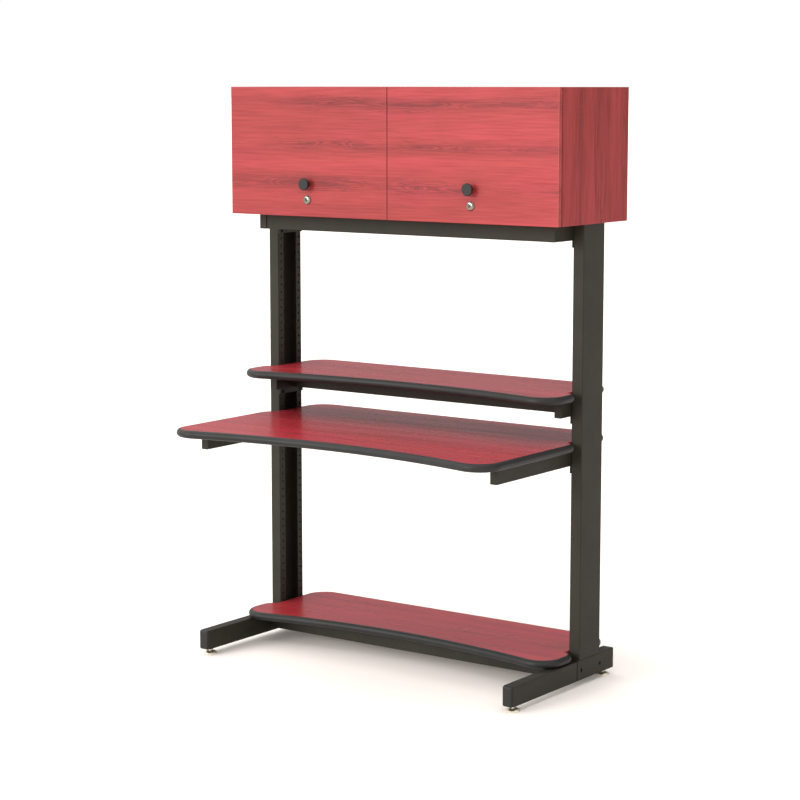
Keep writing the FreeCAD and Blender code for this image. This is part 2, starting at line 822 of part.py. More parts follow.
board_half = outer - edge_radius
board_waist = inner - dims.notch_clearance
notch_front = front - dims.notch_gap - edge_radius
board_back = rear - edge_radius
core_corner = dims.corner_radius - edge_radius
core_notch = dims.notch_radius - edge_radius


def bow_radius(reach_recess):
    """Radius of the board's bowed front, tangent to both corner arcs."""
    chord = outer - dims.corner_radius
    outside = (chord * chord + reach_recess * reach_recess) / (2 * reach_recess)
    return outside - dims.corner_radius + edge_radius


def front_chain(outline, reach, recess):
    """Round the front of a board from the right notch to the left notch."""
    sketch = outline.sketch
    half, waist, notch = board_half.value, board_waist.value, notch_front.value
    corner, small = core_corner.value, core_notch.value
    corner_x = half - corner
    corner_y = (front - reach + dims.corner_radius).value
    bow = bow_radius(recess).value
    bow_y = (front - reach + recess).value + edge_radius.value - bow
    share = bow / (bow + corner)
    touch_x = corner_x * share
    touch_y = bow_y + (corner_y - bow_y) * share
    inset, side_end = half - small, notch - small
    chain = [
        outline.line((waist, notch), (inset, notch)),
        outline.arc((inset, side_end), (inset, notch), (half, side_end)),
        outline.line((half, side_end), (half, corner_y)),
        outline.arc((corner_x, corner_y), (half, corner_y), (touch_x, touch_y)),
        outline.arc((0, bow_y), (touch_x, touch_y), (-touch_x, touch_y), False),
        outline.arc((-corner_x, corner_y), (-touch_x, touch_y), (-half, corner_y)),
        outline.line((-half, corner_y), (-half, side_end)),
        outline.arc((-inset, side_end), (-half, side_end), (-inset, notch)),
        outline.line((-inset, notch), (-waist, notch)),
    ]
    for before, after in zip(chain, chain[1:]):
        outline.link(before, after)
    for line, kind in ((0, "Horizontal"), (2, "Vertical"), (6, "Vertical"), (8, "Horizontal")):
        sketch.addConstraint(Sketcher.Constraint(kind, chain[line]))
    for arc in (1, 7):
        dimension(sketch, "Radius", core_notch, chain[arc])
    for arc in (3, 5):
        dimension(sketch, "Radius", core_corner, chain[arc])
        dimension(sketch, "DistanceY", front - reach + dims.corner_radius, -1, 1, chain[arc], 3)
    dimension(sketch, "Radius", bow_radius(recess), chain[4])
    for line, point, sign in ((0, 1, 1), (8, 2, -1)):
        dimension(sketch, "DistanceX", board_waist * sign, -1, 1, chain[line], point)
        dimension(sketch, "DistanceY", notch_front, -1, 1, chain[line], point)
    for line, sign in ((2, 1), (6, -1)):
        dimension(sketch, "DistanceX", board_half * sign, -1, 1, chain[line], 1)
    return chain


def rear_chain(outline, start_y):
    """Round the back of a board from the left side to the right side."""
    sketch = outline.sketch
    waist, back, corner = board_waist.value, board_back.value, core_corner.value
    low = float(start_y)
    corner_x, corner_y = waist - corner, back - corner
    chain = [
        outline.line((-waist, low), (-waist, corner_y)),
        outline.arc((-corner_x, corner_y), (-waist, corner_y), (-corner_x, back)),
        outline.line((-corner_x, back), (corner_x, back)),
        outline.arc((corner_x, corner_y), (corner_x, back), (waist, corner_y)),
        outline.line((waist, corner_y), (waist, low)),
    ]
    for before, after in zip(chain, chain[1:]):
        outline.link(before, after)
    for line, kind in ((0, "Vertical"), (2, "Horizontal"), (4, "Vertical")):
        sketch.addConstraint(Sketcher.Constraint(kind, chain[line]))
    for arc in (1, 3):
        dimension(sketch, "Radius", core_corner, chain[arc])
    dimension(sketch, "DistanceY", board_back, -1, 1, chain[2], 1)
    return chain


def board(label, reach, recess, underside, screws):
    """The board itself, drilled from below for its screws."""
    owner = body(f"{label}_core")
    sketch = sketch_on(owner, "XY_Plane", "outline")
    outline = Outline(sketch)
    ahead = front_chain(outline, reach, recess)
    behind = rear_chain(outline, notch_front)
    outline.link(ahead[-1], behind[0], False)
    outline.link(behind[-1], ahead[0], False)
    pad(owner, sketch, dims.board_thickness)
    place(owner, 0, 0, underside)
    holes = [rod(f"{label}_pilot_{index}", dims.screw_radius + dims.running_fit, dims.screw_bite * 2,
                 (x, y, underside - dims.screw_bite), "Z")
             for index, (x, y) in enumerate(screws)]
    return piece(cut(f"{label}_drilled", owner, *holes), label)


def half_round(sketch, across, sign):
    """The edging's section: a flat on the board's edge and a half circle outside it."""
    low, high = (-math.pi / 2, math.pi / 2) if sign > 0 else (math.pi / 2, math.pi * 1.5)
    middle = Vector(float(across), edge_radius.value, 0)
    circle = Part.Circle(middle, Vector(0, 0, 1), edge_radius.value)
    arc = sketch.addGeometry(Part.ArcOfCircle(circle, low, high))
    ends = [sketch.getPoint(arc, point) for point in (2, 1)]
    flat = sketch.addGeometry(Part.LineSegment(*ends))
    sketch.addConstraint(Sketcher.Constraint("Coincident", arc, 2, flat, 1))
    sketch.addConstraint(Sketcher.Constraint("Coincident", arc, 1, flat, 2))
    sketch.addConstraint(Sketcher.Constraint("Vertical", flat))
    sketch.addConstraint(Sketcher.Constraint("PointOnObject", arc, 3, flat))
    dimension(sketch, "DistanceX", across, -1, 1, arc, 3)
    dimension(sketch, "DistanceY", edge_radius, -1, 1, arc, 3)
    dimension(sketch, "Radius", edge_radius, arc)


def sweep(owner, section, path, name):
    made = owner.newObject("PartDesign::AdditivePipe", f"{owner.Name}_{name}")
    made.Profile = section
    made.Spine = (path, [])
    doc.recompute()
    return made


def edging(label, reach, recess, underside):
    """Half-round edging in two lengths, one round the front and one round the back."""
    ahead = body(f"{label}_front")
    path = sketch_on(ahead, "XY_Plane", "path")
    front_chain(Outline(path), reach, recess)
    section = sketch_on(ahead, "YZ_Plane", "section", board_waist)
    half_round(section, notch_front, 1)
    sweep(ahead, section, path, "sweep")
    behind = body(f"{label}_rear")
    start_y = upright_rear + dims.notch_clearance
    path = sketch_on(behind, "XY_Plane", "path")
    chain = rear_chain(Outline(path), start_y)
    for line, point, sign in ((0, 1, -1), (4, 2, 1)):
        dimension(path, "DistanceX", board_waist * sign, -1, 1, chain[line], point)
        dimension(path, "DistanceY", start_y, -1, 1, chain[line], point)
    section = sketch_on(behind, "XZ_Plane", "section", -start_y)
    half_round(section, -board_waist, -1)
    sweep(behind, section, path, "sweep")
    for length in (ahead, behind):
        place(length, 0, 0, underside)
    return piece(group(f"{label}_lengths", ahead, behind), label)


def board_screw(name, x, y, seat):
    """A pan-head screw whose head lies inside a tube, under its top wall."""
    under = seat - dims.arm_wall
    head = rod(f"{name}_head", dims.screw_head_radius, dims.screw_head_height, (x, y, under), "-Z")
    shank = rod(f"{name}_shank", dims.screw_radius, dims.arm_wall + dims.screw_bite - dims.drill_fit,
                (x, y, under), "Z")
    return fuse(name, head, shank)


# Cabinet

cabinet_half = outer + dims.cabinet_overhang
door_front = front - dims.cabinet_reach
door_back = door_front + dims.door_thickness
carcass_front = door_back + dims.door_gap
hinge_y = door_back + dims.door_gap / 2
hinge_z = cabinet_top - dims.barrel_drop
inside_half = cabinet_half - dims.panel_thickness
inside_bottom = cabinet_bottom + dims.panel_thickness
inside_top = cabinet_top - dims.panel_thickness
door_middle = (cabinet_half + dims.door_split / 2) / 2
knob_z = cabinet_bottom + dims.knob_rise
lock_z = cabinet_bottom + dims.lock_rise


def barrel_rabbet(name, x_span, edge_y):
    """The step along a top edge that makes room for the hinge's barrel."""
    return block(name, x_span, (edge_y - dims.barrel_room, edge_y + dims.barrel_room),
                 (hinge_z - dims.barrel_radius - dims.knuckle_gap, cabinet_top + dims.panel_thickness))


def cabinet(screws):
    depth = (carcass_front, rear)
    for label, side in SIDES:
        piece(panel(f"cabinet_{label}_panel", (inside_half * side, cabinet_half * side), depth,
                    (cabinet_bottom, cabinet_top)), f"cabinet_{label}_side")
    top = panel("cabinet_top_panel", (-inside_half, inside_half), depth, (inside_top, cabinet_top))
    rabbet = barrel_rabbet("cabinet_top_rabbet", (-cabinet_half, cabinet_half), carcass_front)
    piece(cut("cabinet_top_cut", top, rabbet), "cabinet_top")
    bottom = panel("cabinet_bottom_panel", (-inside_half, inside_half), depth,
                   (cabinet_bottom, inside_bottom))
    holes = [rod(f"cabinet_pilot_{index}", dims.screw_radius + dims.running_fit, dims.screw_bite * 2,
                 (x, y, cabinet_bottom - dims.screw_bite), "Z")
             for index, (x, y) in enumerate(screws)]
    piece(cut("cabinet_bottom_drilled", bottom, *holes), "cabinet_bottom")
    back_y = rear - dims.back_recess
    piece(panel("cabinet_back_panel", (-inside_half, inside_half), (back_y - dims.back_thickness, back_y),
                (inside_bottom, inside_top)), "cabinet_back")
    half = dims.panel_thickness / 2
    piece(panel("cabinet_partition_panel", (-half, half),
                (carcass_front, back_y - dims.back_thickness), (inside_bottom, inside_top)),
          "cabinet_partition")


# Doors with their hinges, knobs and cam locks

def door_span(side):
    return span(dims.door_split / 2 * side, cabinet_half * side)


def door(label, side):
    x = door_middle * side
    low, high = door_span(side)
    leaf = panel(f"{label}_panel", (low, high), (door_front, door_back), (cabinet_bottom, cabinet_top))
    start = door_front - dims.door_thickness / 2
    cuts = [
        barrel_rabbet(f"{label}_rabbet", (low - dims.door_split, high + dims.door_split), door_back),
        rod(f"{label}_lock_hole", dims.lock_barrel_radius + dims.drill_fit, dims.door_thickness * 2,
            (x, start, lock_z), "Y"),
        rod(f"{label}_knob_hole", dims.screw_radius + dims.drill_fit, dims.door_thickness * 2,
            (x, start, knob_z), "Y"),
    ]
    return piece(cut(f"{label}_cut", leaf, *cuts), label)


def hinge_span(side):
    """The hinge runs from the middle of the cabinet to just short of its side panel."""
    return span((dims.door_split / 2 + dims.leaf_inset) * side, (inside_half - dims.leaf_inset) * side)


def knuckle_rods(name, side, odd, radius, grow):
    """Every other knuckle of a hinge's barrel, each longer by the given length."""
    low, high = hinge_span(side)
    pitch = (high - low) / KNUCKLES
    return [rod(f"{name}_{index}", radius, pitch + grow,
                (low + pitch * index - grow / 2, hinge_y, hinge_z), "X")
            for index in range(odd, KNUCKLES, 2)]


def hinge_leaf(name, side, towards, odd):
    """A strip that lies on the cabinet (towards 1) or on the door (towards -1), with its knuckles."""
    ends = hinge_span(side)
    gap = dims.knuckle_gap
    face = hinge_y + dims.door_gap / 2 * towards
    strip = block(f"{name}_strip", ends, (face, face - dims.leaf_thickness * towards),
                  (hinge_z - dims.leaf_height, hinge_z))
    room = knuckle_rods(f"{name}_room", side, 1 - odd, dims.barrel_radius + gap, gap)
    barrel = knuckle_rods(f"{name}_knuckle", side, odd, dims.barrel_radius, -gap)
    bore = rod(f"{name}_bore", dims.hinge_pin_radius + dims.running_fit, ends[1] - ends[0],
               (ends[0], hinge_y, hinge_z), "X")
    notched = cut(f"{name}_notched", strip, *room)
    return cut(name, fuse(f"{name}_solid", notched, *barrel), bore)


def hinge_pin(name, side):
    low, high = hinge_span(side)
    return rod(name, dims.hinge_pin_radius, high - low, (low, hinge_y, hinge_z), "X")


def knob(label, side):
    """A fluted knob that tapers to a neck, bored for its screw."""
    owner = body(f"{label}_turned")
    zero = size_of(0)
    edge = dims.knob_round
    rim = dims.knob_height - dims.knob_rim_height
    sketch = sketch_on(owner, "XZ_Plane", "profile")
    closed_polygon(sketch, [
        (zero, zero), (dims.knob_neck_radius, zero), (dims.knob_neck_radius, dims.knob_neck_height),
        (dims.knob_radius - edge, rim),
        (dims.knob_radius, rim + edge / 2),
        (dims.knob_radius, dims.knob_height - edge),
        (dims.knob_radius - edge, dims.knob_height),
        (zero, dims.knob_height),
    ])
    spin = owner.newObject("PartDesign::Revolution", f"{label}_spin")
    spin.Profile = sketch
    spin.ReferenceAxis = (sketch, ["V_Axis"])
    spin.Angle = 360
    doc.recompute()
    scoop = sketch_on(owner, "XY_Plane", "flute")
    centre = dims.knob_radius + dims.flute_radius * 0.45
    scoop.addGeometry(Part.Circle(Vector(centre.value, 0, 0), Vector(0, 0, 1), dims.flute_radius.value))
    scoop.addConstraint(Sketcher.Constraint("PointOnObject", 0, 3, -1))
    dimension(scoop, "DistanceX", centre, -1, 1, 0, 3)
    dimension(scoop, "Radius", dims.flute_radius, 0)
    flute = owner.newObject("PartDesign::Pocket", f"{label}_flute")
    flute.Profile = scoop
    flute.Reversed = True
    bind(flute, "Length", dims.knob_height * 1.2)
    doc.recompute()
    if flute.Shape.Volume >= spin.Shape.Volume:
        raise RuntimeError(f"{label}: the flute cuts nothing")
    flutes = owner.newObject("PartDesign::PolarPattern", f"{label}_flutes")
    flutes.Originals = [flute]
    flutes.Axis = (scoop, ["N_Axis"])
    flutes.Angle = 360
    flutes.Occurrences = KNOB_FLUTES
    owner.Tip = flutes
    doc.recompute()
    place(owner, door_middle * side, door_front, knob_z, TURN_Z_TO["-Y"])
    bore = rod(f"{label}_bore", dims.screw_radius + dims.running_fit, dims.screw_bite * 2,
               (door_middle * side, door_front - dims.screw_bite, knob_z), "Y")
    return piece(cut(f"{label}_bored", owner, bore), label)


def knob_screw(label, side):
    seat = (door_middle * side, door_back, knob_z)
    head = rod(f"{label}_head", dims.screw_head_radius, dims.screw_head_height, seat, "Y")
    shank = rod(f"{label}_shank", dims.screw_radius,
                dims.door_thickness + dims.screw_bite - dims.drill_fit, seat, "-Y")
    return piece(fuse(f"{label}_solid", head, shank), label)


lock_rear = door_back + dims.lock_barrel_rear
cam_front = lock_rear + dims.drill_fit
plug_neck = dims.lock_plug_radius * 0.62


def lock_housing(label, side):
    """A barrel through the door with a domed flange, bored for the plug."""
    x = door_middle * side
    face = dims.lock_flange_height
    length = dims.door_thickness + dims.lock_barrel_rear
    bore = dims.lock_plug_radius + dims.running_fit
    slope = dims.lock_flange_radius - bore
    dome = [(dims.lock_flange_radius - slope * inward, face * height) for inward, height in FLANGE_DOME]
    solid = turned(f"{label}_turned", [
        (bore, -length), (dims.lock_barrel_radius, -length), (dims.lock_barrel_radius, size_of(0)),
        (dims.lock_flange_radius, size_of(0)), *dome, (bore, face),
    ])
    return piece(place(solid, x, door_front, lock_z, TURN_Z_TO["-Y"]), label)


def lock_nut(label, side):
    x = door_middle * side
    solid = hexagon(f"{label}_solid", dims.lock_barrel_radius * 1.4, dims.lock_nut_height,
                    (x, door_back, lock_z), "Y")
    thread = rod(f"{label}_thread", dims.lock_barrel_radius + dims.running_fit, dims.lock_nut_height * 2,
                 (x, door_back - dims.lock_nut_height / 2, lock_z), "Y")
    return piece(cut(f"{label}_cut", solid, thread), label)


def lock_plug(label, side):
    """The turning plug: keyed face in front, a neck and a peened head for the cam behind."""
    x = door_middle * side
    face = door_front - dims.lock_flange_height + dims.drill_fit
    core = rod(f"{label}_core", dims.lock_plug_radius, cam_front - face, (x, face, lock_z), "Y")
    neck = rod(f"{label}_neck", plug_neck, dims.cam_thickness + dims.drill_fit * 2,
               (x, cam_front, lock_z), "Y")
    head = rod(f"{label}_head", dims.lock_plug_radius * 0.9, dims.cam_thickness * 0.75,
               (x, cam_front + dims.cam_thickness + dims.drill_fit, lock_z), "Y")
    slot = block(f"{label}_slot", (x - dims.key_slot_width / 2, x + dims.key_slot_width / 2),
                 (face - dims.key_slot_depth, face + dims.key_slot_depth),
                 (lock_z - dims.key_slot_length / 2, lock_z + dims.key_slot_length / 2))
    return piece(cut(f"{label}_slotted", fuse(f"{label}_solid", core, neck, head), slot), label)


def lock_cam(label, side):
    """A flat bar on the plug's neck, level when unlocked."""
    x = door_middle * side
    half = dims.cam_width / 2
    y_span = (cam_front + dims.drill_fit / 2, cam_front + dims.drill_fit / 2 + dims.cam_thickness)
    strip = block(f"{label}_strip", (x, x + dims.cam_length), y_span, (lock_z - half, lock_z + half))
    hub = rod(f"{label}_hub", half, dims.cam_thickness, (x, y_span[0], lock_z), "Y")
    hole = rod(f"{label}_hole", plug_neck + dims.running_fit, dims.cam_thickness * 3,
               (x, y_span[0] - dims.cam_thickness, lock_z), "Y")
    return piece(cut(f"{label}_cut", fuse(f"{label}_solid", strip, hub), hole), label)


def strike(name, side):
    """An angle on the cabinet's bottom that the turned cam stands behind."""
    x = door_middle * side
    half = dims.strike_width / 2
    face = cam_front - dims.strike_clearance
    wall = block(f"{name}_wall", (x - half, x + half), (face - dims.strike_wall, face),
                 (inside_bottom, inside_bottom + dims.strike_height))
    foot = block(f"{name}_foot", (x - half, x + half), (face - dims.strike_wall, face + dims.strike_foot),
                 (inside_bottom, inside_bottom + dims.strike_wall))
    return fuse(name, wall, foot)


# Assembly

ARM_REACH = {
    "cabinet": dims.cabinet_arm_reach,
    "upper_shelf": dims.upper_arm_reach,
    "work_surface": dims.work_arm_reach,
}


def arm_screws(level):
    """Where the screws of a level's two arms stand."""
    return [(arm_middle * side, y) for _, side in SIDES for y in arm_screws_y(ARM_REACH[level])]


def set_of(label, solids):
    """One sub-part made of like pieces."""
    piece(group(f"{label}_set", *solids), label)


def pair_of(label, maker):
    """One sub-part made of a left and a right piece."""
    set_of(label, [maker(f"{name}_{label}", side) for name, side in SIDES])


lower_screws = [(x, front - dims.lower_beam_reach + dims.arm_width / 2) for x in lower_screws_x()]

for name, side in SIDES:
    upright(f"{name}_upright", side)
    heel(f"{name}_heel", side)
    toe(f"{name}_toe", side)
    toe_cap(f"{name}_toe_cap", side)
pair_of("heel_plugs", heel_plug)
set_of("heel_bolts", [heel_bolt(f"{name}_heel_bolt_{index}", side, y)
                      for name, side in SIDES for index, y in enumerate(heel_bolts_y)])

for end, y in glides_y.items():
    for name, side in SIDES:
        glide(f"{end}_{name}_glide", foot_middle * side, y)
set_of("glide_inserts", [glide_insert(f"{end}_{name}_insert", foot_middle * side, y)
                         for end, y in glides_y.items() for name, side in SIDES])

for level, reach in ARM_REACH.items():
    for name, side in SIDES:
        arm(f"{level}_{name}_arm", level, side, reach)
plate_places = [(f"{level}_{name}_{index}", level, side, y) for level in ARM_REACH
                for name, side in SIDES for index, y in enumerate(hole_rows)]
set_of("plate_bolts", [plate_bolt(f"{name}_bolt", level, side, y) for name, level, side, y in plate_places])
set_of("plate_nuts", [plate_nut(f"{name}_nut", level, side, y) for name, level, side, y in plate_places])

beam_middle = front + dims.upright_depth / 2 - dims.arm_width / 2
piece(beam("cabinet_beam_tube", arm_inner, front - dims.cabinet_arm_reach + dims.cabinet_beam_setback,
           cabinet_bottom), "cabinet_beam")
for level in ("upper_shelf", "work_surface"):
    piece(beam(f"{level}_beam_tube", arm_inner, beam_middle, seat_height(level)), f"{level}_beam")
lower_beam("lower_shelf_beam")
pair_of("lower_shelf_cleats", cleat)

SHELF_SHAPE = (dims.shelf_reach, dims.shelf_recess)
BOARD_SHAPE = {
    "upper_shelf": SHELF_SHAPE,
    "work_surface": (dims.work_reach, dims.work_recess),
    "lower_shelf": SHELF_SHAPE,
}
SEATS = {level: (seat_height(level), arm_screws(level)) for level in ARM_REACH}
SEATS["lower_shelf"] = (heel_top, lower_screws)
for label, shape in BOARD_SHAPE.items():
    underside, places = SEATS[label]
    board(label, *shape, underside, places)
    edging(f"{label}_edging", *shape, underside)
set_of("board_screws", [board_screw(f"{label}_screw_{index}", x, y, seat)
                        for label, (seat, places) in SEATS.items()
                        for index, (x, y) in enumerate(places)])

cabinet(arm_screws("cabinet"))
for name, side in SIDES:
    door(f"{name}_door", side)
    piece(hinge_leaf(f"{name}_door_leaf", side, -1, 1), f"{name}_door_hinge_leaf")
    knob(f"{name}_knob", side)
    knob_screw(f"{name}_knob_screw", side)
    lock_housing(f"{name}_lock_housing", side)
    lock_nut(f"{name}_lock_nut", side)
    lock_plug(f"{name}_lock_plug", side)
    lock_cam(f"{name}_lock_cam", side)
set_of("cabinet_hinge_leaves", [hinge_leaf(f"{name}_fixed_leaf", side, 1, 0) for name, side in SIDES])
pair_of("hinge_pins", hinge_pin)
pair_of("lock_strikes", strike)

# Check and write
doc.recompute()
for item in doc.Objects:
    if "Invalid" in item.State or "Error" in item.State:
        raise RuntimeError(f"{item.Name} ({item.Label}) failed: {item.State}")
os.makedirs("parts", exist_ok=True)
for item in pieces:
    if item.Shape.isNull() or not item.Shape.isValid() or not item.Shape.Solids:
        raise RuntimeError(f"{item.Label} has no valid solid")
for item in pieces:
    item.Shape.exportStep(f"parts/{item.Label}.step")
print(len(pieces), "parts written")
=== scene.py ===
"""Finishes, stage and camera for a standing dispatch console with a lift-door cabinet."""
import json
import math

import bpy
from bpy.props import FloatProperty, FloatVectorProperty, PointerProperty, StringProperty
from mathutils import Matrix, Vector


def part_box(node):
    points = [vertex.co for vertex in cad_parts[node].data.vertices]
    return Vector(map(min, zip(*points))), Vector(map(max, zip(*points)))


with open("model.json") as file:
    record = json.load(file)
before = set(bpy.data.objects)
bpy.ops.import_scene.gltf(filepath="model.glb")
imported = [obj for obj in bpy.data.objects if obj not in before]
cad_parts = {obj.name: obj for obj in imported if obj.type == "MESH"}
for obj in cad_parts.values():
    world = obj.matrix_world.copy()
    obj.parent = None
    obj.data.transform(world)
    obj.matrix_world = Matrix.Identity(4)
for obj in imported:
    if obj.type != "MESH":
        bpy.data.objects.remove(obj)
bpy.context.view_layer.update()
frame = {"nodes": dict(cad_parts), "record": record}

bl_info = {
    "name": "Dispatch console finishes",
    "version": (1, 0, 0),
    "blender": (4, 5, 0),
    "location": "View3D > Sidebar > Console",
    "description": "Dresses the dispatch console in laminate, powder coat and chrome, and sets its stage",
    "category": "Object",
}

MM = 0.001
NODES = frame["nodes"]
SLOT_OF = {part["node"]: part["material_slot"] for part in frame["record"]["subparts"]}
UPRIGHTS = ("left_upright", "right_upright")
DOORS = ("left_door", "right_door")
# Panels with upright grain, whose print is also drawn darker as painted shade
STANDING_PANELS = ("cabinet_left_side", "cabinet_right_side", "cabinet_partition")
LOCK_PLUGS = ("left_lock_plug", "right_lock_plug")
GLIDES = [node for node in NODES if node.endswith("_glide")]

# Spans in which most values of a noise texture lie, and those of a grain pattern
NOISE_SPAN = {"From Min": 0.3, "From Max": 0.7}
GRAIN_SPAN = {"From Min": -1.0, "From Max": 1.0}

# Patches of the red laminate's print, each with its length along the grain and its width across it
TINT_PATCH = (420 * MM, 90 * MM)
ROW_BEND = (600 * MM, 160 * MM)
ROW_FADE = (380 * MM, 110 * MM)
RING_WOBBLE = (90 * MM, 14 * MM)
FLECK = (34 * MM, 5 * MM)

# Width of a nest of arches, and how far a ring strays from its arch
NEST_WIDTH = 150 * MM
RING_STRAY = 1.3 * MM

# Distances from the heart of a row within which the dark row and a knot are full, and at which they end
ROW_SPAN = {"From Min": 4 * MM, "From Max": 38 * MM}
KNOT_SPAN = {"From Min": 1.5 * MM, "From Max": 7 * MM}

# Where a grain pattern or the rings bring out a row, the pinker wood, a ring's line and a fleck
FADE_SPAN = {"From Min": -0.6, "From Max": 0.5}
PINK_SPAN = {"From Min": -0.4, "From Max": 0.8}
LINE_SPAN = {"From Min": 0.3, "From Max": 1.0}
FLECK_SPAN = {"From Min": 0.55, "From Max": 1.0}

# Shares of the print's parts in its dark colour, then in its line colour, and the faintest row's strength
BAND_SHARE, STREAK_SHARE, ROW_SHARE, RING_SHARE = 0.26, 0.24, 0.3, 0.18
LINE_SHARE, KNOT_SHARE, FLECK_SHARE = 0.38, 0.55, 0.6
FAINTEST_ROW = 0.25
# Finer layers in the print's bands and streaks
PRINT_DETAIL = 3.0

# A coat's clouds of tint in grains, the shares of its colour that they run between, and the grain's relief
GRAINS_IN_CLOUD = 90
DEEPEST_TINT, PALEST_TINT = 0.88, 1.12
GRAIN_RELIEF = 0.35
# Width of the clouds that polishing leaves on a plated skin
POLISHING_CLOUD = 4 * MM

# Shares of a finish's roughness where its pattern is smoothest and where it is roughest
LAMINATE_SMOOTH, LAMINATE_ROUGH = 0.9, 1.15
COAT_SMOOTH, COAT_ROUGH = 0.85, 1.15
PLATE_SMOOTH, PLATE_ROUGH = 0.7, 1.4

# Largest face in a punched hole's wall, where shade is painted, and the shares of a normal that count as
# partly and wholly facing
HOLE_FACE_AREA = 10 * MM * MM
PARTLY, WHOLLY = 0.3, 0.9

# Light panels: level, the way towards the panel, and the cosines at its edge and where it is full
LIGHT_PANELS = (
    ("front_level", (-0.45, -0.89, 0.0), 0.0, 0.9),
    ("right_level", (0.97, -0.24, 0.0), 0.45, 0.95),
    ("ceiling_level", (-0.35, -0.15, 0.925), 0.35, 0.8),
)
# Sines of the heights where the white horizon starts to give way to the walls and where it is gone
HORIZON_SPAN = {"From Min": 0.04, "From Max": 0.08}


def linear(hex_colour):
    """An sRGB hex colour as linear red, green, blue and alpha."""
    channels = [int(hex_colour[i:i + 2], 16) / 255 for i in (1, 3, 5)]
    return [c / 12.92 if c <= 0.04045 else ((c + 0.055) / 1.055) ** 2.4 for c in channels] + [1.0]


def add_node(tree, kind, values=None, links=None, **settings):
    """Adds a shader node: settings first, then socket values, then links from other sockets."""
    made = tree.nodes.new(kind)
    for name, setting in settings.items():
        setattr(made, name, setting)
    for socket, value in (values or {}).items():
        made.inputs[socket].default_value = value
    for socket, source in (links or {}).items():
        tree.links.new(source, made.inputs[socket])
    return made


def new_material(name):
    """An empty material with its shader and its object coordinates."""
    material = bpy.data.materials.new(name)
    material.use_nodes = True
    tree = material.node_tree
    shader = tree.nodes["Principled BSDF"]
    place = add_node(tree, "ShaderNodeTexCoord").outputs["Object"]
    return material, tree, shader, place


def colour_prop(label, meaning, hex_colour):
    """A property for a colour, as an sRGB hex value."""
    return StringProperty(name=label, description=meaning, default=hex_colour)


def length_prop(label, meaning, millimetres):
    """A property for a length, whose default is given in millimetres."""
    return FloatProperty(
        name=label, description=meaning, default=millimetres * MM, unit="LENGTH", precision=5)


class ConsoleFinish(bpy.types.PropertyGroup):
    """Colours and pattern sizes of the console's finishes."""
    cabinet_light: colour_prop("Cabinet light", "Pale wood in the cabinet's print", "#9E3635")
    cabinet_pink: colour_prop("Cabinet pink", "Pinker wood in the cabinet's print", "#A3353B")
    cabinet_dark: colour_prop("Cabinet dark", "Dark rows in the cabinet's print", "#762322")
    cabinet_line: colour_prop("Cabinet line", "Ring lines and knots in the cabinet's print", "#56181F")
    board_light: colour_prop("Board light", "Pale wood in the boards' print", "#B0343A")
    board_pink: colour_prop("Board pink", "Pinker wood in the boards' print", "#B2323E")
    board_dark: colour_prop("Board dark", "Dark rows in the boards' print", "#8C252D")
    board_line: colour_prop("Board line", "Ring lines and knots in the boards' print", "#751A24")
    # Partly painted shade: a real backing sheet whose brown is darkened to stand for the shade under the
    # boards
    shaded_backer: colour_prop("Backer", "Plain backing sheet under the boards", "#756A61")
    # Painted highlight: the pale colour put on the doors' right front corners
    corner_highlight: colour_prop("Corner highlight", "Pale corner of a door's edge band", "#B0625D")
    coat: colour_prop("Powder coat", "Charcoal of the steel frame", "#29261F")
    # Painted shade: the near black put on the walls of the uprights' punched holes
    punched: colour_prop("Painted hole shade", "Dark inside of the uprights' punched holes", "#050505")
    edging: colour_prop("Edging", "Charcoal of the half-round edging", "#252524")
    plastic: colour_prop("Plastic", "Black of the knobs and caps", "#191817")
    chrome: colour_prop("Chrome", "Plating of the lock housings", "#8E897F")
    bright_nickel: colour_prop("Bright nickel", "Plating of the levelling glides", "#E6DDCB")
    satin_nickel: colour_prop("Satin nickel", "Plating of the lock plugs", "#55504A")
    zinc: colour_prop("Zinc", "Plating of the hinges, screws and lock cams", "#85888B")
    oxide: colour_prop("Black oxide", "Skin of the blackened bolts and inserts", "#0A0A0A")
    heart_spacing: length_prop("Heart spacing", "Distance across the grain between the dark rows", 125)
    heart_length: length_prop("Heart length", "Length along the grain of one nest of arches", 280)
    heart_depth: length_prop("Heart depth", "How far the arches run into the log", 20)
    heart_wander: length_prop("Heart wander", "How far a dark row strays from its line", 9)
    ring_spacing: length_prop("Ring spacing", "Distance between the print's ring lines", 4.5)
    band_length: length_prop("Band length", "Length of a broad dark band", 1100)
    band_width: length_prop("Band width", "Width of a broad dark band", 55)
    fibre_length: length_prop("Fibre length", "Length of a fibre streak on the cabinet", 130)
    fibre_width: length_prop("Fibre width", "Width of a fibre streak on the cabinet", 5)
    streak_length: length_prop("Streak length", "Length of a streak on the boards", 450)
    streak_width: length_prop("Streak width", "Width of a streak on the boards", 34)
    door_row: length_prop("Door row", "Height of a dark row over the doors' bottom edge", 102.2)
    side_row: length_prop("Side row", "Distance of a dark row behind the sides' front edge", 105.15)
    side_cut: length_prop("Side cut", "How far along the printed roll the sides were cut", 900)
    board_row: length_prop("Board row", "Distance of a dark row behind the middle of the footprint", 40)
    coat_grain: length_prop("Coat grain", "Size of a grain of the powder coat", 0.9)
    vinyl_grain: length_prop("Vinyl grain", "Size of a grain of the edging's texture", 0.7)


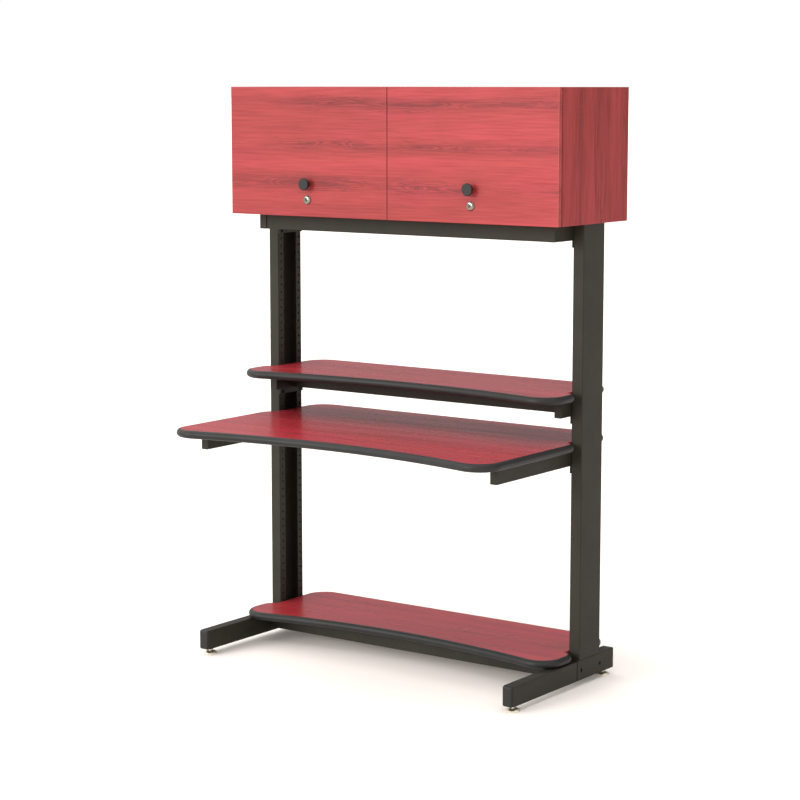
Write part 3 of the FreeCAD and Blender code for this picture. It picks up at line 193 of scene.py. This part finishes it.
class ConsoleStage(bpy.types.PropertyGroup):
    """Camera, floor and lights."""
    camera_place: FloatVectorProperty(
        name="Camera place", description="Where the camera stands", default=(4.0917, -5.63855, 1.838),
        unit="LENGTH")
    camera_heading: FloatProperty(
        name="Heading", description="Turn of the camera about the vertical", default=math.radians(35.756),
        unit="ROTATION")
    camera_tilt: FloatProperty(
        name="Tilt", description="How far the camera looks down", default=math.radians(8.018),
        unit="ROTATION")
    camera_lens: FloatProperty(
        name="Lens", description="Focal length in millimetres", default=101.464, unit="CAMERA")
    floor_size: FloatProperty(
        name="Floor size", description="Side of the floor", default=400.0, unit="LENGTH")
    floor_colour: colour_prop("Floor", "Pale floor", "#EBE4DE")
    floor_glow: FloatProperty(
        name="Floor glow", description="Light through the backlit floor", default=0.11)
    horizon_level: FloatProperty(
        name="Horizon", description="Brightness of the far white wall", default=1.02)
    wall_level: FloatProperty(
        name="Walls", description="Brightness of the far walls", default=0.26)
    front_level: FloatProperty(
        name="Front wall", description="Brightness of the front left wall", default=1.5)
    right_level: FloatProperty(
        name="Right wall", description="Brightness of the right wall", default=1.45)
    ceiling_level: FloatProperty(
        name="Ceiling", description="Brightness of the ceiling panel", default=2.2)
    key_level: FloatProperty(
        name="Key light", description="Strength of the soft key light", default=1.95)
    key_width: FloatProperty(
        name="Key width", description="Angle the key light fills", default=math.radians(30),
        unit="ROTATION")
    key_aim: FloatVectorProperty(
        name="Key aim", description="The way the key light shines", default=(0.395, 0.886, -0.242),
        subtype="DIRECTION")


def grain_pattern(tree, sheet, size, seed, detail=1.0):
    """Soft patches of a size along and across the grain of a sheet, from about -1 to 1."""
    length, width = size
    moved = add_node(tree, "ShaderNodeMapping",
                     {"Scale": (1 / length, 1 / width, 1 / width), "Location": (seed, seed, seed)},
                     {"Vector": sheet}).outputs[0]
    noise = add_node(tree, "ShaderNodeTexNoise", {"Scale": 1.0, "Detail": detail}, {"Vector": moved})
    return add_node(tree, "ShaderNodeMapRange", {**NOISE_SPAN, "To Min": -1.0, "To Max": 1.0},
                    {"Value": noise.outputs["Fac"]}, clamp=False).outputs[0]


def sawn_rings(tree, sheet, coarse):
    """Growth rings round rows of hearts that dip into the log and out, which the saw cuts into arches.

    Gives the distance from the heart, how strong the dark row is, and the row's rings from -1 to 1.
    """
    finish = bpy.context.scene.console_finish
    bends = grain_pattern(tree, sheet, ROW_BEND, seed=3.1)
    depths = grain_pattern(tree, sheet, (finish.heart_length, NEST_WIDTH), seed=11.3)
    wobble = grain_pattern(tree, sheet, (RING_WOBBLE[0], RING_WOBBLE[1] * coarse), seed=9.2)
    fades = grain_pattern(tree, sheet, ROW_FADE, seed=15.2)

    from_row = add_node(tree, "ShaderNodeSeparateXYZ", links={0: sheet}).outputs["Y"]
    bent = add_node(tree, "ShaderNodeMath", {1: finish.heart_wander}, {0: bends, 2: from_row},
                    operation="MULTIPLY_ADD").outputs[0]
    aside = add_node(tree, "ShaderNodeMath", {1: finish.heart_spacing / 2}, {0: bent},
                     operation="PINGPONG").outputs[0]
    depth = add_node(tree, "ShaderNodeMath", {1: finish.heart_depth}, {0: depths},
                     operation="MULTIPLY").outputs[0]
    spot = add_node(tree, "ShaderNodeCombineXYZ", links={0: aside, 1: depth}).outputs[0]
    distance = add_node(tree, "ShaderNodeVectorMath", links={0: spot}, operation="LENGTH").outputs["Value"]
    radius = add_node(tree, "ShaderNodeMath", {1: RING_STRAY * coarse}, {0: wobble, 2: distance},
                      operation="MULTIPLY_ADD").outputs[0]
    turn = add_node(tree, "ShaderNodeMath", {1: math.tau / (finish.ring_spacing * coarse)}, {0: radius},
                    operation="MULTIPLY").outputs[0]
    wave = add_node(tree, "ShaderNodeMath", links={0: turn}, operation="SINE").outputs[0]

    # A row is darkest at its heart and fades along its length, and its rings fade with it
    near = add_node(tree, "ShaderNodeMapRange", {**ROW_SPAN, "To Min": 1.0, "To Max": 0.0},
                    {"Value": radius}, interpolation_type="SMOOTHSTEP").outputs[0]
    strength = add_node(tree, "ShaderNodeMapRange", {**FADE_SPAN, "To Min": FAINTEST_ROW, "To Max": 1.0},
                        {"Value": fades}).outputs[0]
    row = add_node(tree, "ShaderNodeMath", links={0: near, 1: strength}, operation="MULTIPLY").outputs[0]
    rings = add_node(tree, "ShaderNodeMath", links={0: wave, 1: row}, operation="MULTIPLY").outputs[0]
    return distance, row, rings


def dark_marks(tree, sheet, coarse, distance, row, rings):
    """The darkest marks of the print: lines on the rings' crests, and knots and flecks in the rows."""
    specks = grain_pattern(tree, sheet, [size * coarse for size in FLECK], seed=31.7)
    lines = add_node(tree, "ShaderNodeMapRange",
                     {**LINE_SPAN, "To Min": 0.0, "To Max": LINE_SHARE / coarse},
                     {"Value": rings}).outputs[0]
    flecks = add_node(tree, "ShaderNodeMapRange",
                      {**FLECK_SPAN, "To Min": 0.0, "To Max": FLECK_SHARE / coarse},
                      {"Value": specks}).outputs[0]
    knots = add_node(tree, "ShaderNodeMapRange",
                     {**KNOT_SPAN, "To Min": KNOT_SHARE / coarse, "To Max": 0.0},
                     {"Value": distance}, interpolation_type="SMOOTHSTEP").outputs[0]
    spots = add_node(tree, "ShaderNodeMath", links={0: knots, 1: flecks}, operation="MAXIMUM").outputs[0]
    spots = add_node(tree, "ShaderNodeMath", links={0: spots, 1: row}, operation="MULTIPLY").outputs[0]
    return add_node(tree, "ShaderNodeMath", links={0: spots, 1: lines}, operation="MAXIMUM").outputs[0]


def wood_laminate(name, grain, cut, heart_row, colours, streak, coarse, darkness, roughness, sheen):
    """High-pressure laminate with a printed plain-sawn figure, pressed to a satin or smooth face.

    The eye sees fine fibres along the grain, dark rows with nests of long arches about small knots, and
    paler, pinker wood between the rows. grain names the axes along, across and through the sheet. One row
    lies at heart_row, measured across the grain, and cut says how far along the printed roll the sheet
    starts. streak is a fibre's length and width, coarse is how many times wider and fainter than real the
    fine marks are drawn, and darkness is how dark the print is between them.
    """
    finish = bpy.context.scene.console_finish
    light, pink, dark, line = [linear(colour) for colour in colours]
    material, tree, shader, place = new_material(name)
    axes = add_node(tree, "ShaderNodeSeparateXYZ", links={0: place}).outputs
    along, across, through = [axes[axis] for axis in grain]
    turned = add_node(tree, "ShaderNodeCombineXYZ", links={0: along, 1: across, 2: through}).outputs[0]
    sheet = add_node(tree, "ShaderNodeVectorMath", {1: (cut, -heart_row, 0.0)}, {0: turned}).outputs[0]

    distance, row, rings = sawn_rings(tree, sheet, coarse)
    marks = dark_marks(tree, sheet, coarse, distance, row, rings)
    band = (finish.band_length, finish.band_width)
    detail = PRINT_DETAIL / coarse
    bands = grain_pattern(tree, sheet, band, seed=7.7, detail=detail)
    streaks = grain_pattern(tree, sheet, streak, seed=5.9, detail=detail)
    tints = grain_pattern(tree, sheet, TINT_PATCH, seed=21.4)
    tone = add_node(tree, "ShaderNodeMath", {1: BAND_SHARE, 2: darkness}, {0: bands},
                    operation="MULTIPLY_ADD").outputs[0]
    for part, share in ((streaks, STREAK_SHARE), (row, ROW_SHARE), (rings, RING_SHARE / coarse)):
        tone = add_node(tree, "ShaderNodeMath", {1: share}, {0: part, 2: tone},
                        operation="MULTIPLY_ADD", use_clamp=True).outputs[0]

    hue = add_node(tree, "ShaderNodeMapRange", {**PINK_SPAN, "To Min": 0.0, "To Max": 1.0},
                   {"Value": tints}).outputs[0]
    colour = add_node(tree, "ShaderNodeMix", {"A": light, "B": pink}, {"Factor": hue}, data_type="RGBA")
    for deeper, amount in ((dark, tone), (line, marks)):
        colour = add_node(tree, "ShaderNodeMix", {"B": deeper},
                          {"Factor": amount, "A": colour.outputs["Result"]}, data_type="RGBA")
    tree.links.new(colour.outputs["Result"], shader.inputs["Base Color"])
    gloss = add_node(
        tree, "ShaderNodeMapRange",
        {**GRAIN_SPAN, "To Min": roughness * LAMINATE_SMOOTH, "To Max": roughness * LAMINATE_ROUGH},
        {"Value": streaks})
    tree.links.new(gloss.outputs[0], shader.inputs["Roughness"])
    shader.inputs["Specular IOR Level"].default_value = sheen
    return material


def grained_coat(name, colour, grain, roughness, sheen, height):
    """A coloured skin whose fine grain of a given height scatters the light, with faint clouds of tint."""
    material, tree, shader, place = new_material(name)
    fine = add_node(tree, "ShaderNodeTexNoise", {"Scale": 1 / grain, "Detail": 2.0},
                    {"Vector": place}).outputs["Fac"]
    clouds = add_node(tree, "ShaderNodeTexNoise", {"Scale": 1 / (grain * GRAINS_IN_CLOUD), "Detail": 3.0},
                      {"Vector": place}).outputs["Fac"]
    tint = add_node(tree, "ShaderNodeMapRange",
                    {**NOISE_SPAN, "To Min": DEEPEST_TINT, "To Max": PALEST_TINT},
                    {"Value": clouds}).outputs[0]
    shaded = add_node(tree, "ShaderNodeVectorMath", {0: linear(colour)[:3]}, {"Scale": tint},
                      operation="SCALE")
    tree.links.new(shaded.outputs[0], shader.inputs["Base Color"])
    bump = add_node(tree, "ShaderNodeBump", {"Strength": GRAIN_RELIEF, "Distance": height}, {"Height": fine})
    tree.links.new(bump.outputs[0], shader.inputs["Normal"])
    gloss = add_node(
        tree, "ShaderNodeMapRange",
        {**NOISE_SPAN, "To Min": roughness * COAT_SMOOTH, "To Max": roughness * COAT_ROUGH},
        {"Value": fine})
    tree.links.new(gloss.outputs[0], shader.inputs["Roughness"])
    shader.inputs["Specular IOR Level"].default_value = sheen
    return material


def plated_metal(name, colour, roughness):
    """Plated or blackened steel: a skin that mirrors the room, with faint polishing clouds in its gloss."""
    material, tree, shader, place = new_material(name)
    shader.inputs["Metallic"].default_value = 1.0
    shader.inputs["Base Color"].default_value = linear(colour)
    clouds = add_node(tree, "ShaderNodeTexNoise", {"Scale": 1 / POLISHING_CLOUD, "Detail": 3.0},
                      {"Vector": place}).outputs["Fac"]
    gloss = add_node(
        tree, "ShaderNodeMapRange",
        {**NOISE_SPAN, "To Min": roughness * PLATE_SMOOTH, "To Max": roughness * PLATE_ROUGH},
        {"Value": clouds})
    tree.links.new(gloss.outputs[0], shader.inputs["Roughness"])
    return material


def dress(node_names, material, other=None, chosen=None):
    """Puts a finish on CAD nodes, and another one on the faces that are chosen."""
    for name in node_names:
        mesh = NODES[name].data
        mesh.materials.clear()
        mesh.materials.append(material)
        if other:
            mesh.materials.append(other)
            for face in mesh.polygons:
                face.material_index = int(chosen(face))


def slot_nodes(slot):
    """The nodes to which the record gives a material slot."""
    return [node for node, its_slot in SLOT_OF.items() if its_slot == slot]


def punched_edge(face):
    """Whether an upright's face is in the wall of a punched hole, where shade is painted: small, and not in
    a lip's flat side.
    """
    return face.area < HOLE_FACE_AREA and abs(face.normal.x) < PARTLY


def right_front_corner(face):
    """Whether a door's face is on the corner between its front and its right edge, where a highlight is
    painted.
    """
    return face.normal.x > PARTLY and face.normal.y < -PARTLY


def underside(face):
    """Whether a board's face looks down."""
    return face.normal.z < -WHOLLY


class CONSOLE_OT_finish_frame(bpy.types.Operator):
    """Finishes the steel frame in charcoal powder coat"""
    bl_idname = "console.finish_frame"
    bl_label = "Frame"

    def execute(self, context):
        finish = context.scene.console_finish
        # Sprayed and baked powder: matt charcoal with the faint peel of its melted grains
        coat = grained_coat("charcoal powder coat", finish.coat, finish.coat_grain,
                            roughness=0.58, sheen=0.2, height=0.05 * MM)
        # Painted shade: the walls of the uprights' punched holes are coloured near black, so that each hole
        # reads as a dark dot
        painted_hole_shade = grained_coat("painted shade in punched holes", finish.punched, finish.coat_grain,
                               roughness=0.7, sheen=0.1, height=0.01 * MM)
        dress(slot_nodes("charcoal_powder_coat"), coat)
        dress(UPRIGHTS, coat, painted_hole_shade, punched_edge)
        return {"FINISHED"}


class CONSOLE_OT_finish_boards(bpy.types.Operator):
    """Finishes the shelves and the work surface in smooth red laminate"""
    bl_idname = "console.finish_boards"
    bl_label = "Boards"

    def execute(self, context):
        finish = context.scene.console_finish
        # The boards lie nearly edge-on to the eye, so their fine marks are drawn wider and fainter than real
        top = wood_laminate(
            "smooth red laminate", grain=("X", "Y", "Z"), cut=0.0, heart_row=finish.board_row,
            colours=(finish.board_light, finish.board_pink, finish.board_dark, finish.board_line),
            streak=(finish.streak_length, finish.streak_width), coarse=4, darkness=0.3,
            roughness=0.25, sheen=0.42)
        # Pressed kraft paper: a brown backing sheet, its colour darkened as painted shade under the boards,
        # that keeps the space under a board dim
        shaded_backer = grained_coat("brown backing sheet with painted shade", finish.shaded_backer, finish.vinyl_grain,
                              roughness=0.6, sheen=0.3, height=0.01 * MM)
        dress(slot_nodes("red_board_laminate"), top, shaded_backer, underside)
        return {"FINISHED"}


class CONSOLE_OT_finish_mouldings(bpy.types.Operator):
    """Finishes the half-round edging and the black mouldings"""
    bl_idname = "console.finish_mouldings"
    bl_label = "Edging and mouldings"

    def execute(self, context):
        finish = context.scene.console_finish
        # Extruded vinyl: satin charcoal with one soft streak of light along its curve
        vinyl = grained_coat("charcoal vinyl edging", finish.edging, finish.vinyl_grain,
                             roughness=0.45, sheen=0.2, height=0.02 * MM)
        # Moulded nylon: near black, with a soft shine that its mould's fine texture breaks up
        nylon = grained_coat("black moulded nylon", finish.plastic, finish.vinyl_grain,
                             roughness=0.5, sheen=0.3, height=0.03 * MM)
        dress(slot_nodes("charcoal_edging"), vinyl)
        dress(slot_nodes("black_moulded_plastic"), nylon)
        return {"FINISHED"}


class CONSOLE_OT_finish_cabinet(bpy.types.Operator):
    """Finishes the cabinet and its doors in satin red laminate"""
    bl_idname = "console.finish_cabinet"
    bl_label = "Cabinet"

    def execute(self, context):
        finish = context.scene.console_finish
        colours = (finish.cabinet_light, finish.cabinet_pink, finish.cabinet_dark, finish.cabinet_line)
        # Single fibres are too fine to show, so they are drawn as streaks a few millimetres wide
        fibre = (finish.fibre_length, finish.fibre_width)
        door_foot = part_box("left_door")[0].z
        side_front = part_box("cabinet_right_side")[0].y
        level = wood_laminate(
            "satin red laminate, level grain", grain=("X", "Z", "Y"), cut=0.0,
            heart_row=door_foot + finish.door_row, colours=colours, streak=fibre, coarse=1, darkness=0.36,
            roughness=0.45, sheen=0.25)
        # Partly painted shade: the sides keep their upright grain, and their print is drawn darker than the
        # doors' (darkness 0.58 against 0.36) to stand for the shade of panels turned from the light
        shaded_upright_laminate = wood_laminate(
            "satin red laminate, upright grain, painted shade", grain=("Z", "Y", "X"), cut=finish.side_cut,
            heart_row=side_front + finish.side_row, colours=colours, streak=fibre, coarse=1, darkness=0.58,
            roughness=0.5, sheen=0.2)
        # Painted highlight: the doors' right front corners are coloured pale red, as a thin line of light
        # along them
        band = grained_coat("painted highlight on door corners", finish.corner_highlight, finish.vinyl_grain,
                            roughness=0.4, sheen=0.3, height=0.01 * MM)
        dress(slot_nodes("red_cabinet_laminate"), level)
        dress(DOORS, level, band, right_front_corner)
        dress(STANDING_PANELS, shaded_upright_laminate)
        return {"FINISHED"}


class CONSOLE_OT_finish_fittings(bpy.types.Operator):
    """Finishes the glides, locks, hinges and fasteners"""
    bl_idname = "console.finish_fittings"
    bl_label = "Fittings"

    def execute(self, context):
        finish = context.scene.console_finish
        # Polished chrome: sharp bright and dark patches of the room
        chrome = plated_metal("polished chrome plate", finish.chrome, roughness=0.12)
        # Bright nickel: warm and pale, with blurred reflections
        bright_nickel = plated_metal("bright nickel plate", finish.bright_nickel, roughness=0.38)
        # Satin nickel: a darker, softer face than the chrome about it
        satin_nickel = plated_metal("satin nickel plate", finish.satin_nickel, roughness=0.3)
        # Electroplated zinc: cool grey with a soft shine
        zinc = plated_metal("bright zinc plate", finish.zinc, roughness=0.3)
        # Chemically blackened steel: nearly black with a dull sheen
        oxide = plated_metal("black oxide steel", finish.oxide, roughness=0.6)
        dress(slot_nodes("polished_chrome"), chrome)
        dress(GLIDES, bright_nickel)
        dress(LOCK_PLUGS, satin_nickel)
        dress(slot_nodes("zinc_plated_steel"), zinc)
        dress(slot_nodes("black_oxide_steel"), oxide)
        return {"FINISHED"}


def lay_floor(scene, stage):
    """Lays a wide matt floor that glows a little, so that the shadows on it stay pale."""
    half = stage.floor_size / 2
    corners = [(-half, -half, 0), (half, -half, 0), (half, half, 0), (-half, half, 0)]
    mesh = bpy.data.meshes.new("floor")
    mesh.from_pydata(corners, [], [(0, 1, 2, 3)])
    floor = bpy.data.objects.new("floor", mesh)
    scene.collection.objects.link(floor)
    material, _, shader, _ = new_material("pale studio floor")
    shader.inputs["Base Color"].default_value = linear(stage.floor_colour)
    shader.inputs["Roughness"].default_value = 0.9
    shader.inputs["Specular IOR Level"].default_value = 0.0
    shader.inputs["Emission Color"].default_value = linear(stage.floor_colour)
    shader.inputs["Emission Strength"].default_value = stage.floor_glow
    mesh.materials.append(material)


def light_walls(scene, stage):
    """Sets dim walls all round with soft light panels in them, over a white horizon."""
    world = bpy.data.worlds.new("studio walls")
    world.use_nodes = True
    scene.world = world
    tree = world.node_tree
    direction = add_node(tree, "ShaderNodeTexCoord").outputs["Generated"]
    height = add_node(tree, "ShaderNodeSeparateXYZ", links={0: direction}).outputs["Z"]
    wall = None
    for panel, toward, edge, full in LIGHT_PANELS:
        facing = add_node(tree, "ShaderNodeVectorMath", {1: toward}, {0: direction},
                          operation="DOT_PRODUCT").outputs["Value"]
        panel_span = {"From Min": edge, "From Max": full}
        lit = add_node(tree, "ShaderNodeMapRange",
                       {**panel_span, "To Min": stage.wall_level, "To Max": getattr(stage, panel)},
                       {"Value": facing}).outputs[0]
        if wall is None:
            wall = lit
        else:
            wall = add_node(tree, "ShaderNodeMath", links={0: wall, 1: lit}, operation="MAXIMUM").outputs[0]
    above = add_node(tree, "ShaderNodeMapRange", {**HORIZON_SPAN, "To Min": 0.0, "To Max": 1.0},
                     {"Value": height}, interpolation_type="SMOOTHSTEP").outputs[0]
    level = add_node(tree, "ShaderNodeMix", {"A": stage.horizon_level},
                     {"Factor": above, "B": wall}).outputs[0]
    # The picture's backdrop stays white at any height, however dim the far walls are in the reflections
    seen = add_node(tree, "ShaderNodeLightPath").outputs["Is Camera Ray"]
    level = add_node(tree, "ShaderNodeMix", {"B": stage.horizon_level},
                     {"Factor": seen, "A": level}).outputs[0]
    back = tree.nodes["Background"]
    back.inputs["Color"].default_value = (1, 1, 1, 1)
    tree.links.new(level, back.inputs["Strength"])


def hang_key_light(scene, stage):
    """Hangs the soft key light at the front left."""
    key = bpy.data.lights.new("key light", "SUN")
    key.energy = stage.key_level
    key.angle = stage.key_width
    lamp = bpy.data.objects.new("key light", key)
    lamp.rotation_euler = stage.key_aim.to_track_quat("-Z", "Y").to_euler()
    scene.collection.objects.link(lamp)


def place_camera(scene, stage):
    """Stands the camera at the front right, looking a little down."""
    camera_data = bpy.data.cameras.new("camera")
    camera_data.lens = stage.camera_lens
    camera_data.clip_end = stage.floor_size
    camera = bpy.data.objects.new("camera", camera_data)
    camera.location = stage.camera_place
    camera.rotation_euler = (math.pi / 2 - stage.camera_tilt, 0, stage.camera_heading)
    scene.collection.objects.link(camera)
    scene.camera = camera


class CONSOLE_OT_set_stage(bpy.types.Operator):
    """Sets the pale floor, the soft light and the camera"""
    bl_idname = "console.set_stage"
    bl_label = "Stage"

    def execute(self, context):
        scene = context.scene
        scene.view_settings.view_transform = "Standard"
        lay_floor(scene, scene.console_stage)
        light_walls(scene, scene.console_stage)
        hang_key_light(scene, scene.console_stage)
        place_camera(scene, scene.console_stage)
        return {"FINISHED"}


OPERATORS = (
    CONSOLE_OT_finish_frame,
    CONSOLE_OT_finish_boards,
    CONSOLE_OT_finish_mouldings,
    CONSOLE_OT_finish_cabinet,
    CONSOLE_OT_finish_fittings,
    CONSOLE_OT_set_stage,
)


class CONSOLE_PT_panel(bpy.types.Panel):
    """Lists the console's operators"""
    bl_idname = "CONSOLE_PT_panel"
    bl_label = "Dispatch console"
    bl_space_type = "VIEW_3D"
    bl_region_type = "UI"
    bl_category = "Console"

    def draw(self, context):
        for operator in OPERATORS:
            self.layout.operator(operator.bl_idname)


CLASSES = (ConsoleFinish, ConsoleStage, *OPERATORS, CONSOLE_PT_panel)


def register():
    """Registers the classes and hangs the properties on the scene."""
    for cls in CLASSES:
        bpy.utils.register_class(cls)
    bpy.types.Scene.console_finish = PointerProperty(type=ConsoleFinish)
    bpy.types.Scene.console_stage = PointerProperty(type=ConsoleStage)


def unregister():
    """Takes the properties and the classes away again."""
    del bpy.types.Scene.console_stage
    del bpy.types.Scene.console_finish
    for cls in reversed(CLASSES):
        bpy.utils.unregister_class(cls)


def main():
    """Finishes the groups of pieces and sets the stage."""
    register()
    bpy.ops.console.finish_frame()
    bpy.ops.console.finish_boards()
    bpy.ops.console.finish_mouldings()
    bpy.ops.console.finish_cabinet()
    bpy.ops.console.finish_fittings()
    bpy.ops.console.set_stage()


if __name__ == "__main__":
    main()
